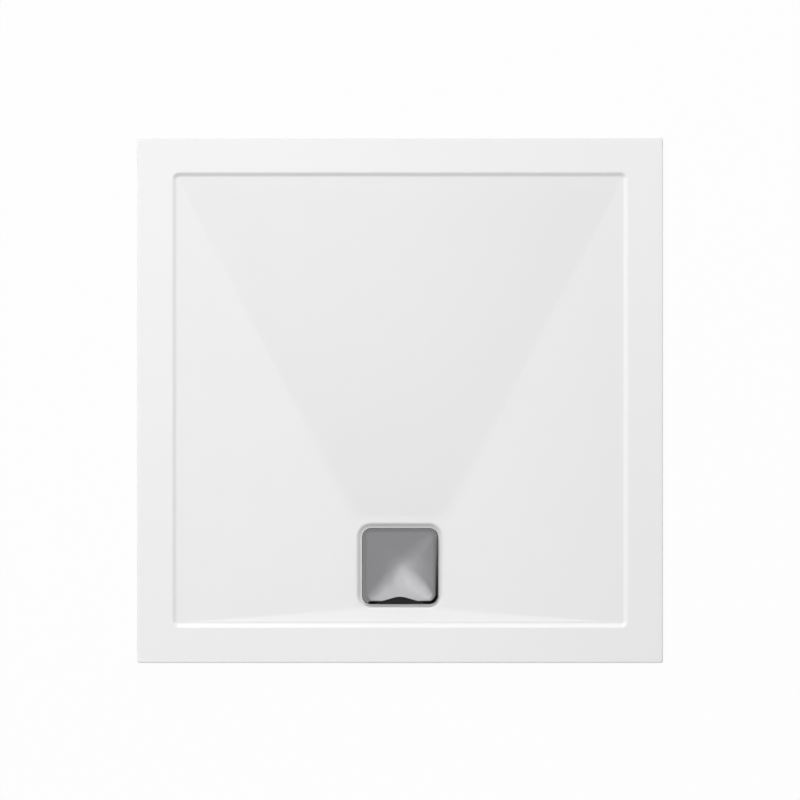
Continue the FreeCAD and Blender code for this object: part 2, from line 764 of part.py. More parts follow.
def make_outlet_nut():
    """The ribbed nut over the outlet, with a flange that bears on the washer."""
    body = new_body("outlet_nut")
    start = f"({OUTLET_END} - nut_overlap)"
    shoulder = f"({OUTLET_END} + seal_length + washer_thickness)"
    spin(body, [
        (start, f"{OUTLET_OUT} + thread_gap"),
        (shoulder, f"{OUTLET_OUT} + thread_gap"),
        (shoulder, f"{PIPE_CLEAR} + thread_gap * 2"),
        (f"{shoulder} + nut_end", f"{PIPE_CLEAR} + thread_gap * 2"),
        (f"{shoulder} + nut_end", f"{NUT_OUT} - nut_end / 2"),
        (f"{shoulder} + nut_end / 2", NUT_OUT),
        (start, NUT_OUT),
    ], "H_Axis")
    rib = sketch_on(body, "YZ_Plane", start)
    outline(rib, [
        ("-nut_rib_width / 2", f"{NUT_OUT} - nut_rib_proud"),
        ("nut_rib_width / 2", f"{NUT_OUT} - nut_rib_proud"),
        ("nut_rib_width / 4", f"{NUT_OUT} + nut_rib_proud"),
        ("-nut_rib_width / 4", f"{NUT_OUT} + nut_rib_proud"),
    ])
    around(body, pad(body, rib, f"{shoulder} - {start}"), "nut_ribs", "X_Axis")
    return at_waste(body, OUTLET)


# ---- what lifts out by hand -------------------------------------------------------------------

def make_dip_tube():
    """The tube that dips into the bowl's water: a grooved collar, a long wall and a finger bar."""
    body = new_body("dip_tube")
    ring = f"({LEDGE} + ring_height)"
    spin(body, [
        (TUBE_IN, f"{LEDGE} - dip_length"),
        (TUBE_OUT, f"{LEDGE} - dip_length"),
        (TUBE_OUT, LEDGE),
        (COLLAR_OUT, LEDGE),
        (COLLAR_OUT, f"{ring} - groove_width / 2"),
        (GROOVE, f"{ring} - groove_width / 2"),
        (GROOVE, f"{ring} + groove_width / 2"),
        (COLLAR_OUT, f"{ring} + groove_width / 2"),
        (COLLAR_OUT, COLLAR_TOP),
        (TUBE_IN, COLLAR_TOP),
    ])
    bar = sketch_on(body, "XY_Plane", LEDGE + " + bar_height")
    far, half = f"{TUBE_IN} + dip_wall / 4", "bar_thickness / 2"
    outline(bar, [
        (f"-({far})", f"-{half}"),
        (far, f"-{half}"),
        (far, half),
        (f"-({far})", half),
    ])
    pad(body, bar, "bar_height")
    return at_waste(body)


def make_dip_tube_seal():
    """The rubber ring in the collar's groove, square in section with its corners cut back."""
    body = new_body("dip_tube_seal")
    far, middle = "(throat_bore - hair_gap)", f"({LEDGE} + ring_height)"
    near, half, bevel = f"({GROOVE} + hair_gap)", "(groove_width / 2 - hair_gap)", "ring_bevel"
    spin(body, [
        (f"{near} + {bevel}", f"{middle} - {half}"),
        (f"{far} - {bevel}", f"{middle} - {half}"),
        (far, f"{middle} - {half} + {bevel}"),
        (far, f"{middle} + {half} - {bevel}"),
        (f"{far} - {bevel}", f"{middle} + {half}"),
        (f"{near} + {bevel}", f"{middle} + {half}"),
        (near, f"{middle} + {half} - {bevel}"),
        (near, f"{middle} - {half} + {bevel}"),
    ])
    return at_waste(body)


def make_hair_strainer():
    """A low slotted cone with a knob, on a flat rim that rests on the dip tube's collar."""
    body = new_body("hair_strainer")
    foot = f"({COLLAR_OUT} - strainer_land)"
    summit = f"({STRAINER_TOP} + dome_rise)"
    knob = f"({summit} + knob_height)"
    spin(body, [
        (f"{foot} - strainer_wall", COLLAR_TOP),
        (COLLAR_OUT, COLLAR_TOP),
        (COLLAR_OUT, STRAINER_TOP),
        (foot, STRAINER_TOP),
        ("dome_shoulder", f"{summit} - dome_rise / 4"),
        ("knob_radius", summit),
        ("knob_radius", f"{knob} - knob_bevel"),
        ("knob_radius - knob_bevel", knob),
        ("0", knob),
        ("0", f"{summit} - strainer_wall"),
        ("knob_radius", f"{summit} - strainer_wall"),
        ("dome_shoulder", f"{summit} - dome_rise / 4 - strainer_wall"),
    ])
    slot = sketch_on(body, "XY_Plane", summit)
    end = "(slot_start + slot_length)"
    outline(slot, [
        ("slot_start", "-slot_width / 2"),
        (end, "-slot_width / 2"),
        (end, "slot_width / 2"),
        ("slot_start", "slot_width / 2"),
    ])
    through = pocket(body, slot, "dome_rise + strainer_wall + strainer_rim")
    around(body, through, "slot_count")
    return at_waste(body)


def make_cover_pads():
    """Four rubber feet that the cover stands on in the recess."""
    body = new_body("cover_pads")
    feet = sketch_on(body, "XY_Plane", SEAT)
    place = "cover_side / 2 - pad_inset"
    circle(feet, place, place, "pad_radius")
    around(body, pad(body, feet, "pad_height"), "4")
    return at_waste(body)


def make_cover_carrier():
    """The dark frame under the metal plate: bars, spokes, a hub, posts and four guiding legs."""
    body = new_body("cover_carrier")
    frame = sketch_on(body, "XY_Plane", CARRIER)
    rounded(frame, "cover_side", "cover_side", "cover_corner")
    rounded(frame, "cover_side - 2 * carrier_bar", "cover_side - 2 * carrier_bar", "cover_corner / 2")
    pad(body, frame, "carrier_thickness")
    hub = sketch_on(body, "XY_Plane", CARRIER)
    circle(hub, "0", "0", "carrier_hub")
    pad(body, hub, "carrier_thickness")
    spoke = sketch_on(body, "XY_Plane", CARRIER, Rotation(Vector(0, 0, 1), 45))
    reach, half = "cover_side * sqrt(2) / 2 - carrier_bar", "carrier_spoke / 2"
    outline(spoke, [("0", f"-{half}"), (reach, f"-{half}"), (reach, half), ("0", half)])
    around(body, pad(body, spoke, "carrier_thickness"), "4")
    posts = sketch_on(body, "XY_Plane", f"{CARRIER} - post_height")
    place = "cover_side / 2 - pad_inset"
    circle(posts, place, place, "post_radius")
    around(body, pad(body, posts, "post_height"), "4")
    near, bottom = f"{COLLAR_OUT} - leg_wall", f"{STRAINER_TOP} + fit_gap"
    corner = sketch_on(body, "XZ_Plane", turn=Rotation(Vector(0, 1, 0), 45))
    outline(corner, [(near, bottom), (COLLAR_OUT, bottom), (COLLAR_OUT, CARRIER), (near, CARRIER)])
    leg = body.newObject("PartDesign::Revolution", "Leg")
    leg.Profile = corner
    leg.ReferenceAxis = (corner, ["V_Axis"])
    leg.Midplane = True
    leg.setExpression("Angle", bound("leg_angle"))
    around(body, leg, "4")
    ridge = sketch_on(body, "XY_Plane", CARRIER_TOP)
    front = "-(cover_side / 2 - notch_depth / 2)"
    outline(ridge, [
        ("-ridge_length / 2", f"{front} - ridge_width / 2"),
        ("ridge_length / 2", f"{front} - ridge_width / 2"),
        ("ridge_length / 2", f"{front} + ridge_width / 2"),
        ("-ridge_length / 2", f"{front} + ridge_width / 2"),
    ])
    pad(body, ridge, "ridge_height")
    return at_waste(body)


def hipped_form(name, inset, low):
    """A rounded square block with four planes that rise to a small flat crown."""
    half, crown = f"({PLATE_SIDE} / 2 - {inset})", "crown_side / 2"
    edge, top = f"({PLATE_EDGE} - {inset})", f"({PLATE_EDGE} + crown_rise - {inset})"
    shapes = []
    for role in ("XZ_Plane", "YZ_Plane"):
        shapes.append(prism(f"{name}_{role[:2]}", role, [
            (f"-{half}", low),
            (half, low),
            (half, edge),
            (crown, top),
            (f"-{crown}", top),
            (f"-{half}", edge),
        ], PLATE_SIDE))
    corners = new_body(name + "_corners")
    plan = sketch_on(corners, "XY_Plane", low)
    rounded(plan, f"2 * {half}", f"2 * {half}", f"{PLATE_CORNER} - {inset}")
    pad(corners, plan, f"{top} - ({low})")
    item = document.addObject("Part::MultiCommon", name)
    item.Shapes = shapes + [corners]
    return item


def make_waste_cover():
    """The bright pressed plate: a shallow hipped crown, a turned-down edge and a finger notch."""
    body = new_body("plate_body")
    body.BaseFeature = hipped_form("plate_form", "0", CARRIER_TOP)
    edge_top = f"({PLATE_EDGE} + crown_rise / 4)"
    soften(body, "plate_round", between(PLATE_EDGE, edge_top))
    hollow = hipped_form("plate_hollow", "plate_wall", f"({CARRIER_TOP} - plate_wall)")
    notch = new_body("plate_notch")
    pad(notch, notch_sketch(notch, f"{CARRIER_TOP} - plate_wall"), "plate_edge + crown_rise + plate_wall")
    return at_waste(cut("waste_cover", body, [hollow, notch]))


def notch_sketch(body, level):
    """A bell-shaped bite in the middle of the front edge: a round peak between two long curves."""
    sketch = sketch_on(body, "XY_Plane", level)
    foot = f"(-{PLATE_SIDE} / 2)"
    both = "((notch_width ^ 2 / 4 + notch_depth ^ 2) / (2 * notch_depth))"
    flank = f"({both} - notch_peak)"
    turn_x = f"(notch_width / 2 * notch_peak / {both})"
    turn_y = f"({foot} + notch_depth - notch_peak + ({both} - notch_depth) * notch_peak / {both})"
    outline(sketch, [
        ("-notch_width / 2", f"{foot} - notch_depth"),
        ("notch_width / 2", f"{foot} - notch_depth"),
        ("notch_width / 2", foot, f"-{flank}"),
        (turn_x, turn_y, "notch_peak"),
        (f"-{turn_x}", turn_y, f"-{flank}"),
        ("-notch_width / 2", foot),
    ])
    return sketch


pieces = make_tray() + [
    make_flange_gasket(),
    make_waste_flange(),
    make_flange_screws(),
    make_screw_inserts(),
    make_trap_gasket(),
    make_trap_throat(),
    make_bowl_seal(),
    make_trap_bowl(),
    make_outlet_seal(),
    make_outlet_washer(),
    make_outlet_nut(),
    make_dip_tube(),
    make_dip_tube_seal(),
    make_hair_strainer(),
    make_cover_pads(),
    make_cover_carrier(),
    make_waste_cover(),
]
document.recompute()

faults = [item.Name for item in document.Objects if {"Invalid", "Error"} & set(item.State)]
for piece in pieces:
    if piece.Shape.isNull() or not piece.Shape.isValid():
        faults.append(piece.Label)
if faults:
    raise SystemExit("not built: " + ", ".join(faults))

os.makedirs("parts", exist_ok=True)
for piece in pieces:
    piece.Shape.exportStep(f"parts/{piece.Label}.step")
    solids = len(piece.Shape.Solids)
    print(f"{piece.Label}: {solids} solid(s), {piece.Shape.Volume / 1000:.2f} cm3")
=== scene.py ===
# %% [markdown]
# # A low shower tray, seen from straight above
#
# A low shower tray is a large, quiet thing: one white surface with a flat rim, a small step and
# four planes that fall to a bright square cover.  Almost all that the eye gets is how softly the
# light changes from plane to plane, so the edges and the lights matter more here than any pattern.
#
# The mechanical model comes first.  Its pieces keep their places for the whole lesson, and three of
# them are swapped for finer meshes that fit the same places.

import math

import bmesh
import bpy
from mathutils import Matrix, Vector


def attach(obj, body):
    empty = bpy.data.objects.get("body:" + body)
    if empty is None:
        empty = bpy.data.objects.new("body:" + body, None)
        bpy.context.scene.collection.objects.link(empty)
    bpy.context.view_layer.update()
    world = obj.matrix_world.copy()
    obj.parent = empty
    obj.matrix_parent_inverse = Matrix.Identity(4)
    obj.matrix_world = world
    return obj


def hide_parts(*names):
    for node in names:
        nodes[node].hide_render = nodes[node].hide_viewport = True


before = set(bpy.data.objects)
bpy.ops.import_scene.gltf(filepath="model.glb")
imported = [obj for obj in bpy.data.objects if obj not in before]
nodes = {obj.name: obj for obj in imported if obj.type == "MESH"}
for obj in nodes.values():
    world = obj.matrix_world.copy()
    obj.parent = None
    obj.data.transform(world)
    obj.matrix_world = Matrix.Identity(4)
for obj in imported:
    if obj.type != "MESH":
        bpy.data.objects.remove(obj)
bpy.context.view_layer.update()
print("nodes:", ", ".join(sorted(nodes)))

# %% [markdown]
# ## Sizes
#
# All lengths are metres.  The origin is the centre of the tray's underside, +Z is up and +Y is the
# edge furthest from the waste.  These are the tray's own levels and widths, which the new meshes
# follow so that they fit the pieces that stay.
#
# From the top down, TOP is the level of the rim, FOOT is where the step ends and the falls begin,
# BRINK is where the falls end and the recess begins, and SEAT is the recess's flat bottom.

# %% Sizes of the tray and of the cover
SIDE, OUTER_CORNER = 0.900, 0.004
TOP = 0.025
RIM = 0.060
STEP_RUN, STEP_DEPTH = 0.008, 0.004
FOOT = TOP - STEP_DEPTH
BRINK = 0.014
SEAT = 0.0095
SKIN = 0.0015
PLINTH = 0.002
WASTE_Y, WASTE_RADIUS = -0.285, 0.045
RECESS_SIDE, RECESS_CORNER, RECESS_RUN = 0.136, 0.018, 0.005

PLATE_SIDE, PLATE_CORNER = 0.128, 0.014
PLATE_LOW, PLATE_EDGE, PLATE_TOP = 0.0156, 0.0176, 0.0206
PLATE_WALL = 0.0012
print(f"the floor falls {(FOOT - BRINK) * 1000:.1f} mm from the step's foot to the recess")


# %% [markdown]
# ## Working as by hand
#
# Blender's operators act on whatever is selected, and the model's own pieces are selected after
# they are loaded.  So each piece starts with nothing selected, gets a new empty mesh, and is shaped
# in edit mode.

# %% Start and finish a piece
def start_piece(name):
    """Make an empty mesh object and go into edit mode on it."""
    if bpy.context.object and bpy.context.object.mode != "OBJECT":
        bpy.ops.object.mode_set(mode="OBJECT")
    bpy.ops.object.select_all(action="DESELECT")
    bpy.ops.mesh.primitive_plane_add(size=1)
    piece = bpy.context.object
    piece.name = piece.data.name = name
    bpy.ops.object.mode_set(mode="EDIT")
    bpy.ops.mesh.delete(type="VERT")
    return piece


def finish_piece(piece, angle=40):
    """Leave edit mode, put the place into the mesh and shade it smooth up to an angle."""
    if piece.mode != "OBJECT":
        bpy.ops.object.mode_set(mode="OBJECT")
    bpy.ops.object.select_all(action="DESELECT")
    bpy.context.view_layer.objects.active = piece
    piece.select_set(True)
    bpy.ops.object.transform_apply(location=True, rotation=True, scale=True)
    bpy.ops.object.shade_smooth_by_angle(angle=math.radians(angle))
    print(f"{piece.name}: {len(piece.data.polygons)} faces")


# %% [markdown]
# A mesh that is put together from parts can have doubled vertices, and faces that point both ways.
# Smooth shading and boolean cuts can go wrong on either, so every new mesh but the floor is mended
# once it has its shape, and so is a cutter.

# %% Mend a mesh, and cut with another object
JOIN_REACH = 0.00001


def mend(piece):
    """Join the doubled vertices of the piece in edit mode and turn every face outwards."""
    bpy.ops.mesh.select_mode(type="VERT")
    bpy.ops.mesh.select_all(action="SELECT")
    bpy.ops.mesh.remove_doubles(threshold=JOIN_REACH)
    bpy.ops.mesh.normals_make_consistent(inside=False)
    print(f"{piece.name}: mended")


def cut(piece, cutter):
    """Cut one object out of another and remove the cutter."""
    for item in (piece, cutter):
        if item.mode != "OBJECT":
            bpy.ops.object.mode_set(mode="OBJECT")
    bpy.ops.object.select_all(action="DESELECT")
    bpy.context.view_layer.objects.active = piece
    piece.select_set(True)
    bite = piece.modifiers.new("cut", "BOOLEAN")
    bite.operation = "DIFFERENCE"
    bite.solver = "EXACT"
    bite.object = cutter
    bpy.ops.object.modifier_apply(modifier=bite.name)
    bpy.data.objects.remove(cutter)


# %% [markdown]
# ## Rings
#
# The skin and the cover plate are both made of rounded squares, one inside the other.  A ring is a
# plane with its four corners bevelled and its face taken away, or a circle with as many vertices.

# %% Rings
CORNER_STEPS = 7
RING_POINTS = 4 * (CORNER_STEPS + 1)
NEARLY_ROUND = 0.999


def square(side, corner, z=None):
    """A ring round the origin: side, corner radius, place along Y and level."""
    return (side, corner, 0, z)


def near_waste(side, corner, z=None):
    """A ring round the waste's axis."""
    return (side, corner, WASTE_Y, z)


def add_ring(side, corner, z):
    """Add one ring; a corner as large as half the side makes a circle."""
    if corner * 2 > side * NEARLY_ROUND:
        bpy.ops.mesh.primitive_circle_add(
            vertices=RING_POINTS, radius=side / 2, location=(0, 0, z))
        return
    bpy.ops.mesh.primitive_plane_add(size=side, location=(0, 0, z))
    bpy.ops.mesh.bevel(affect="VERTICES", offset=corner, segments=CORNER_STEPS)
    bpy.ops.mesh.delete(type="ONLY_FACE")


print("points in a ring:", RING_POINTS)


# %% [markdown]
# Two neighbouring rings are joined with Bridge Edge Loops.  Bridging goes wrong when two rings lie
# in one plane or beside each other, because it can't tell which way round they run.  So the rings
# are first stacked like plates, one metre apart and on one axis.  Once they are bridged, each ring
# moves to its own place and level.

# %% Lofts
SAME_LEVEL = 0.01


def select_rings(piece, pair):
    """Select the edges of two rings in the stack."""
    bpy.ops.mesh.select_all(action="DESELECT")
    mesh = bmesh.from_edit_mesh(piece.data)
    for edge in mesh.edges:
        one, other = (vertex.co.z for vertex in edge.verts)
        if abs(one - other) < SAME_LEVEL and round(one) in pair:
            edge.select_set(True)
    bmesh.update_edit_mesh(piece.data)


def loft(name, rings, height=None, closed=False):
    """Stack the rings, bridge them in turn, and put each where it belongs."""
    piece = start_piece(name)
    bpy.ops.mesh.select_mode(type="VERT")
    for number, (side, corner, _, _) in enumerate(rings, 1):
        bpy.ops.mesh.select_all(action="DESELECT")
        add_ring(side, corner, number)
    bpy.ops.mesh.select_mode(type="EDGE")
    pairs = [(number, number + 1) for number in range(1, len(rings))]
    if closed:
        pairs.append((len(rings), 1))
    for pair in pairs:
        select_rings(piece, pair)
        bpy.ops.mesh.bridge_edge_loops()
    mesh = bmesh.from_edit_mesh(piece.data)
    for vertex in mesh.verts:
        _, _, y, z = rings[round(vertex.co.z) - 1]
        vertex.co.y += y
        vertex.co.z = height(vertex.co.x, vertex.co.y) if z is None else z
    bmesh.update_edit_mesh(piece.data)
    print(f"{name}: {len(rings)} rings")
    return piece


# %% [markdown]
# ## The form of the floor
#
# Seen from above, the tray's surface is a height over each point.  A formed sheet has no sharp
# edges, so "the higher of two" and "the lower of two" are both taken softly: close to where two
# surfaces cross, the height leaves them and rounds the corner.

# %% Soft edges, and the distance from a rounded square
def higher(one, other, soft):
    """The higher of two heights, rounded where they are close."""
    close = max(soft - abs(one - other), 0)
    return max(one, other) + close * close / (4 * soft)


def lower(one, other, soft):
    """The lower of two heights, rounded where they are close."""
    return -higher(-one, -other, soft)


def outside(x, y, side, corner):
    """How far a point lies outside a rounded square round (0, 0)."""
    right, up = abs(x) - side / 2 + corner, abs(y) - side / 2 + corner
    return math.hypot(max(right, 0), max(up, 0)) + min(max(right, up), 0) - corner


# %% [markdown]
# The falling floor is the highest of four planes, which meet in four valleys that lead to the
# waste.  The valleys are crisp at the step and grow softer towards the waste.

# %% The four falls
FOOT_SIDE, FOOT_CORNER = SIDE - 2 * RIM - 2 * STEP_RUN, 0.004
BRINK_SIDE, BRINK_CORNER = RECESS_SIDE + 2 * RECESS_RUN, RECESS_CORNER + RECESS_RUN
VALLEY_SOFT, VALLEY_SOFTENS = 0.00005, 0.00018


def floor_level(x, y):
    """The four falls, with valleys that grow softer towards the waste."""
    foot, brink = FOOT_SIDE / 2, BRINK_SIDE / 2
    fall = FOOT - BRINK
    side = (abs(x) - brink) / (foot - brink)
    back = (y - WASTE_Y - brink) / (foot - WASTE_Y - brink)
    front = (WASTE_Y - brink - y) / (foot + WASTE_Y - brink)
    share = max(side, back, front, 0)
    soft = VALLEY_SOFT + VALLEY_SOFTENS * (1 - min(share, 1))
    level = higher(BRINK + fall * side, BRINK + fall * back, soft)
    return higher(level, BRINK + fall * front, soft)


print(f"height of the falls at the tray's centre: {floor_level(0, 0) * 1000:.2f} mm")

# %% [markdown]
# The step and the wall of the recess are slopes that depend on how far a point lies from a rounded
# square.  The recess has the softest edges.  The step is steeper in its middle than in the
# mechanical model, and ends at the same two levels.

# %% The height of the surface
STEP_SLOPE = 0.68
RECESS_SOFT, BRINK_SOFT = 0.0030, 0.0026
FOOT_SOFT, RIM_SOFT = 0.0010, 0.0010


def surface(x, y):
    """The height of the tray's upper face over a point."""
    past_seat = outside(x, y - WASTE_Y, RECESS_SIDE, RECESS_CORNER)
    wall = SEAT + past_seat * (BRINK - SEAT) / RECESS_RUN
    recess = higher(wall, SEAT, RECESS_SOFT)
    past_middle = outside(x, y, FOOT_SIDE, FOOT_CORNER) - STEP_RUN / 2
    step = (FOOT + TOP) / 2 + past_middle * STEP_SLOPE
    floor = higher(floor_level(x, y), step, FOOT_SOFT)
    return lower(lower(recess, floor, BRINK_SOFT), TOP, RIM_SOFT)


print(f"height at the back step's foot: {surface(0, FOOT_SIDE / 2) * 1000:.2f} mm")

# %% [markdown]
# ## The white skin
#
# The real skin is a sheet of white acrylic, formed hot over a mould and backed with cast stone.  It
# could be a fine grid pushed to the right heights, but most of its faces would lie on flat ground.
# Rings can lie close together only where the surface bends, and far apart elsewhere.  They run
# from the waste hole outwards over the recess, the falls and the step to the rim.

# %% Rings of the skin's upper face
SMALLEST_CORNER = 0.0025
SEAT_RING_SIDE = 0.104
FALL_CORNER, FALL_CORNER_POWER = 0.022, 6
recess_edge = near_waste(RECESS_SIDE, RECESS_CORNER)
brink_edge = near_waste(BRINK_SIDE, BRINK_CORNER)
foot_edge = square(FOOT_SIDE, FOOT_CORNER)


def grown(ring, *steps):
    """The ring grown on every side by each of these steps, which are in millimetres."""
    side, corner, y, z = ring
    wider = [step / 1000 for step in steps]
    return [(side + 2 * out, max(corner + out, SMALLEST_CORNER), y, z) for out in wider]


brink_rings = grown(brink_edge, -0.8, -0.3, 0.2, 0.7, 1.3, 2.2, 3.5)


def on_the_fall(share):
    """A ring a share of the way from the brink's last ring to the step's foot."""
    near_side, _, near_y, _ = brink_rings[-1]
    far_side, _, far_y, _ = foot_edge
    side = near_side + (far_side - near_side) * share
    y = near_y + (far_y - near_y) * share
    return (side, FOOT_CORNER + FALL_CORNER * (1 - share) ** FALL_CORNER_POWER, y, None)


skin_rings = [near_waste(2 * WASTE_RADIUS, WASTE_RADIUS, SEAT)]
skin_rings += [near_waste(SEAT_RING_SIDE, WASTE_RADIUS)]
skin_rings += grown(recess_edge, -3.5, -2, -1.2, -0.4, 0.4, 1.2, 2.0, 2.6)
skin_rings += brink_rings
skin_rings += [on_the_fall(share) for share in (0.12, 0.3, 0.5, 0.7, 0.85)]
skin_rings += grown(foot_edge, -3.2, -2.0, -1.0, -0.2, 0.6, 1.4, 2.2, 3.4)
skin_rings += grown(foot_edge, 5.6, 6.4, 7.0, 7.6, 8.2, 8.8, 9.6, 10.8)
print("rings from the waste hole to the rim:", len(skin_rings))

# %% [markdown]
# The sheet rolls over at the tray's edge and hangs down to the plinth, which is the strip of stone
# that shows below it.

# %% Roll the skin's edge over
EDGE_ROLL, EDGE_STEPS = 0.0028, 6
RIM_RINGS, WALL_RINGS = (0.0300, 0.0060), (0.0205, 0.0120)

for inward in (*RIM_RINGS, EDGE_ROLL):
    skin_rings.append(square(SIDE - 2 * inward, OUTER_CORNER, TOP))
for number in range(1, EDGE_STEPS + 1):
    turn = math.radians(90 * number / EDGE_STEPS)
    inward = EDGE_ROLL * (1 - math.sin(turn))
    down = EDGE_ROLL * (1 - math.cos(turn))
    skin_rings.append(square(SIDE - 2 * inward, OUTER_CORNER, TOP - down))
skin_rings += [square(SIDE, OUTER_CORNER, level) for level in (*WALL_RINGS, PLINTH)]
print("rings with the rolled edge:", len(skin_rings))

# %% [markdown]
# A closed shell needs an inner face too.  The rings come back inside, a hair off the core, so that
# the two faces never flicker through each other, and the last ring is bridged to the first.

# %% Line the inside and loft the skin
HAIR = 0.00002
LINING = SKIN - HAIR
LINING_CORNER, LINING_BEVEL = 0.0033, 0.001
RIM_MARGIN, RIM_MARGIN_CORNER = 0.001, 0.006
lining_side = SIDE - 2 * LINING

skin_rings += [
    square(lining_side, LINING_CORNER, PLINTH),
    square(lining_side, LINING_CORNER, TOP - LINING - LINING_BEVEL),
    square(lining_side - 2 * LINING_BEVEL, LINING_CORNER, TOP - LINING),
    square(SIDE - 2 * RIM + 2 * RIM_MARGIN, RIM_MARGIN_CORNER, TOP - LINING),
    square(FOOT_SIDE, FOOT_CORNER, FOOT - LINING),
    near_waste(BRINK_SIDE, BRINK_CORNER, BRINK - LINING),
    near_waste(RECESS_SIDE, RECESS_CORNER, SEAT - LINING),
    near_waste(2 * WASTE_RADIUS, WASTE_RADIUS, SEAT - LINING),
]
skin = loft("white_skin", skin_rings, surface, closed=True)
mend(skin)
finish_piece(skin, angle=60)
evener = skin.modifiers.new("even shading", "WEIGHTED_NORMAL")
evener.keep_sharp = True
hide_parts("acrylic_cap")
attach(skin, "tray")

# %% [markdown]
# ## The cover plate
#
# The cover is a pressed metal plate with a shallow cushion shape: almost flat in the middle and
# steeper towards its edges, with four soft ridges that run to the corners.  A mirror shows every
# change of slope, so the plate gets many rings, and their heights follow one smooth curve.

# %% Rings of the cushion and of its rolled edge
ROLL, ROLL_STEPS, ROLL_FOOT, ROLL_POWER = 0.0052, 8, 0.0004, 1.25
CREST = PLATE_SIDE / 2 - ROLL
CREST_CORNER, MIDDLE_CORNER = (PLATE_CORNER - ROLL) / (2 * CREST), 0.49
CROWN_RINGS, CROWN_POWER, CORNER_POWER = 18, 1.6, 1.5


def crown_ring(share, beneath=0.0):
    """A ring of the cushion, from its round middle (0) to where the edge rolls down (1)."""
    side = 2 * CREST * share
    corner = side * (MIDDLE_CORNER + (CREST_CORNER - MIDDLE_CORNER) * share ** CORNER_POWER)
    level = PLATE_TOP - (PLATE_TOP - PLATE_EDGE) * share ** CROWN_POWER
    return near_waste(side, corner, level - beneath)


plate_rings = [crown_ring((number + 1) / CROWN_RINGS) for number in range(CROWN_RINGS)]
for number in range(1, ROLL_STEPS + 1):
    share = (number / ROLL_STEPS) ** ROLL_POWER
    out = ROLL * number / ROLL_STEPS
    level = PLATE_EDGE - (PLATE_EDGE - PLATE_LOW - ROLL_FOOT) * share
    plate_rings.append(near_waste(2 * (CREST + out), PLATE_CORNER - ROLL + out, level))
plate_rings.append(near_waste(PLATE_SIDE, PLATE_CORNER, PLATE_LOW))
print("rings on the plate's outside:", len(plate_rings))

# %% [markdown]
# The plate is thin metal, so a few more rings make its hollow underside.  The first ring and the
# last stay open after the loft, and each is closed with one small face.

# %% Hollow the plate and close it
INNER_STEP = 0.003
HOLLOW_SHARES = (0.8, 0.6, 0.4, 0.2)
LEVEL_TOLERANCE, JUST_OVER_HALF = 1e-6, 0.51


def fill_ring(piece, ring):
    """Close one ring of the piece with a face."""
    side, _, _, level = ring
    bpy.ops.mesh.select_mode(type="VERT")
    bpy.ops.mesh.select_all(action="DESELECT")
    mesh = bmesh.from_edit_mesh(piece.data)
    for vertex in mesh.verts:
        level_fits = abs(vertex.co.z - level) < LEVEL_TOLERANCE
        if level_fits and abs(vertex.co.x) < side * JUST_OVER_HALF:
            vertex.select_set(True)
    mesh.select_flush_mode()
    bmesh.update_edit_mesh(piece.data)
    bpy.ops.mesh.edge_face_add()


hollow_side, hollow_corner = PLATE_SIDE - 2 * PLATE_WALL, PLATE_CORNER - PLATE_WALL
plate_rings += [
    near_waste(hollow_side, hollow_corner, PLATE_LOW),
    near_waste(hollow_side - 2 * INNER_STEP, hollow_corner - INNER_STEP, PLATE_EDGE - PLATE_WALL),
]
plate_rings += [crown_ring(share, PLATE_WALL) for share in HOLLOW_SHARES]
plate = loft("cover_plate", plate_rings)
for ring in (plate_rings[0], plate_rings[-1]):
    fill_ring(plate, ring)
mend(plate)
finish_piece(plate, angle=60)

# %% [markdown]
# The front edge has a bite for a fingertip, shaped like a low bell: a round peak between two long
# straight flanks with soft feet.  Two arcs and a straight line make one half of it, and the other
# half is its mirror image.

# %% Draw the bell
NOTCH_DEPTH, NOTCH_SLOPE = 0.0120, 0.29
NOTCH_PEAK, NOTCH_FOOT = 0.036, 0.030
BEND_STEPS = 8


def bell_outline():
    """Points of the bell from its right foot over the peak to its left foot."""
    lean = math.atan(NOTCH_SLOPE)
    bends = NOTCH_PEAK + NOTCH_FOOT
    straight = (NOTCH_DEPTH - bends * (1 - math.cos(lean))) / NOTCH_SLOPE
    reach = straight + bends * math.sin(lean)
    half = []
    for number in range(BEND_STEPS + 1):
        angle = lean * number / BEND_STEPS
        up = NOTCH_FOOT * (1 - math.cos(angle))
        half.append((reach - NOTCH_FOOT * math.sin(angle), up))
    for number in range(BEND_STEPS):
        angle = lean * (1 - number / BEND_STEPS)
        up = NOTCH_DEPTH - NOTCH_PEAK * (1 - math.cos(angle))
        half.append((NOTCH_PEAK * math.sin(angle), up))
    return half + [(0, NOTCH_DEPTH)] + [(-x, y) for x, y in reversed(half)]


outline = bell_outline()
print(f"the bell is {(outline[0][0] - outline[-1][0]) * 1000:.1f} mm wide at its foot")

# %% [markdown]
# The outline is led out past the plate's front edge, filled, given a height, and cut out of the
# plate with a Boolean modifier.

# %% Cut the finger bite
CUTTER_LEAD, CUTTER_LOW, CUTTER_HEIGHT = 0.01, 0.004, 0.012
PLATE_FRONT = WASTE_Y - PLATE_SIDE / 2

outline += [(outline[-1][0], -CUTTER_LEAD), (outline[0][0], -CUTTER_LEAD)]
bell = start_piece("bell_cutter")
mesh = bmesh.from_edit_mesh(bell.data)
corners = [mesh.verts.new((x, PLATE_FRONT + y, PLATE_LOW - CUTTER_LOW)) for x, y in outline]
for one, other in zip(corners, corners[1:] + corners[:1]):
    mesh.edges.new((one, other))
bmesh.update_edit_mesh(bell.data)
bpy.ops.mesh.select_all(action="SELECT")
bpy.ops.mesh.edge_face_add()
bpy.ops.mesh.extrude_region_move(TRANSFORM_OT_translate={"value": (0, 0, CUTTER_HEIGHT)})
mend(bell)
cut(plate, bell)
finish_piece(plate, angle=35)
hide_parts("waste_cover")
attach(plate, "cover")


